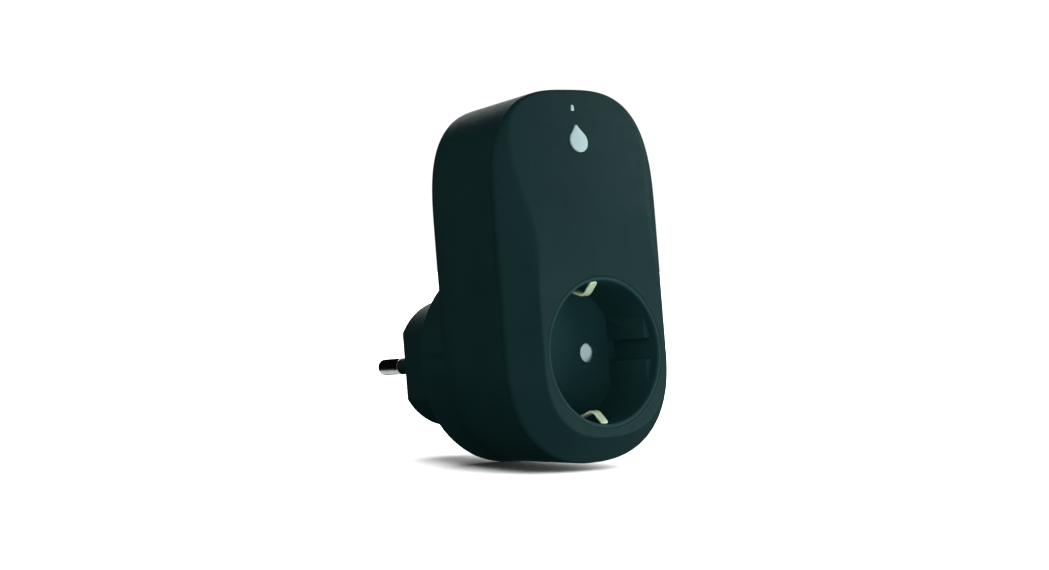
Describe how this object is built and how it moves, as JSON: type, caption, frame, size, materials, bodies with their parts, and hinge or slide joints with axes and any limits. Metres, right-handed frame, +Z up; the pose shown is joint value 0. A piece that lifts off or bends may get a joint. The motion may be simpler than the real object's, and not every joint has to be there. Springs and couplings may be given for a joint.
{
  "type": "smart plug",
  "caption": "Wall plug adapter that switches the appliance in its front socket, with a round earthed plug boss at the back and a drop-shaped button above the recess.",
  "frame": {"origin": "centre of the plug's mating face, between the pins where they leave the boss", "axes": "+Y along the pins into the wall, +Z up from the plug towards the button end, +X to the right seen from the front"},
  "size_m": [0.0584, 0.089, 0.1027],
  "materials": {
    "housing": "fine matte, moulded",
    "insert": "satin, moulded",
    "sleeve": "satin",
    "carrier": "matte",
    "shutter": "satin",
    "button": "satin, translucent",
    "light_guide": "clear",
    "board": "solder mask",
    "component": "moulded",
    "relay": "satin",
    "capacitor": "shrink sleeve",
    "film_capacitor": "moulded",
    "varistor": "dipped",
    "coil": "tape",
    "lens": "clear",
    "nickel": "polished plating",
    "spring_brass": "pale, tinned",
    "contact_brass": "stamped",
    "copper": "stamped",
    "screw": "zinc plated",
    "shield": "tinned"
  },
  "bodies": {
    "housing": {"front_cover": "housing", "main_housing": "housing", "plug_base": "housing", "housing_screw_1": "screw", "housing_screw_2": "screw", "housing_screw_3": "screw", "housing_screw_4": "screw", "pin_left": "nickel", "pin_right": "nickel", "pin_sleeve_left": "sleeve", "pin_sleeve_right": "sleeve", "socket_insert": "insert", "contact_carrier": "carrier", "carrier_screw_top": "screw", "carrier_screw_bottom": "screw", "contact_left": "contact_brass", "contact_right": "contact_brass", "earth_clip_top": "spring_brass", "earth_clip_bottom": "spring_brass", "earth_bridge": "contact_brass", "plug_earth_strip_top": "spring_brass", "plug_earth_strip_bottom": "spring_brass", "neutral_in_strap": "copper", "live_in_strap": "copper", "neutral_out_strap": "copper", "live_out_strap": "copper", "power_board": "board", "power_board_screw_1": "screw", "power_board_screw_2": "screw", "relay": "relay", "transformer": "coil", "capacitor_1": "capacitor", "capacitor_2": "capacitor", "filter_capacitor": "film_capacitor", "varistor": "varistor", "bridge_rectifier": "component", "metering_chip": "component", "thermal_fuse": "screw", "shunt_resistor": "copper", "control_board": "board", "control_board_screw_1": "screw", "control_board_screw_2": "screw", "tact_switch": "component", "light_guide": "light_guide", "status_led": "lens", "radio_module": "board", "radio_shield": "shield", "board_header": "component"},
    "button": {"power_button": "button"},
    "plunger": {"tact_plunger": "component"},
    "shutter": {"shutter": "shutter", "shutter_spring": "nickel"}
  },
  "joints": [
    {"name": "button_press", "type": "slide", "parent": "housing", "child": "button", "axis": [0, 1, 0], "range_m": [0, 0.0005], "stiffness_N_per_m": 300, "springref_m": -0.001},
    {"name": "plunger_press", "type": "slide", "parent": "housing", "child": "plunger", "axis": [0, 1, 0], "range_m": [0, 0.0005]},
    {"name": "shutter_turn", "type": "hinge", "parent": "housing", "child": "shutter", "pos_m": [0, -0.0492, 0], "axis": [0, 1, 0], "range_deg": [0, 40], "stiffness_Nm_per_rad": 0.002, "springref_deg": -22.92}
  ],
  "couplings": [
    {"joint": "plunger_press", "follows": "button_press", "ratio": 1}
  ]
}
